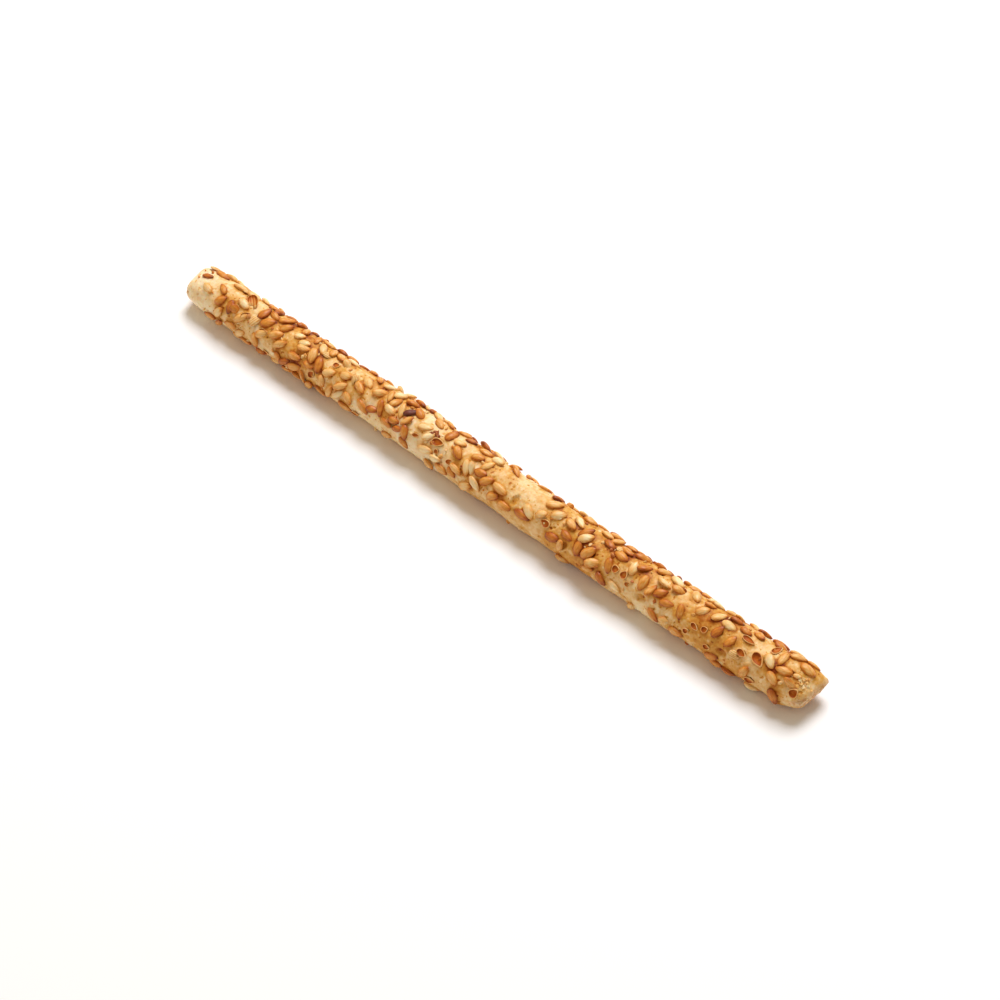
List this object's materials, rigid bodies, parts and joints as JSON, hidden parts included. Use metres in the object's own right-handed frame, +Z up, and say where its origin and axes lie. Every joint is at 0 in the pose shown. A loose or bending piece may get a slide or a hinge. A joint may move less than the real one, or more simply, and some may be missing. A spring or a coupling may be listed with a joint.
{
  "type": "sesame breadstick",
  "caption": "A straight, crisp baked breadstick with toasted sesame seeds over its top, pinched and cut at both ends, lying on its browned underside",
  "frame": {"origin": "middle of the outline seen from above, on the surface that the breadstick lies on", "axes": "+X along the stick towards its thicker end, +Y across it, away from the side with the fewest seeds, +Z up"},
  "size_m": [0.1612, 0.0112, 0.0092],
  "materials": {
    "crust": "matte"
  },
  "bodies": {
    "root": {"breadstick": "crust"}
  },
  "joints": []
}
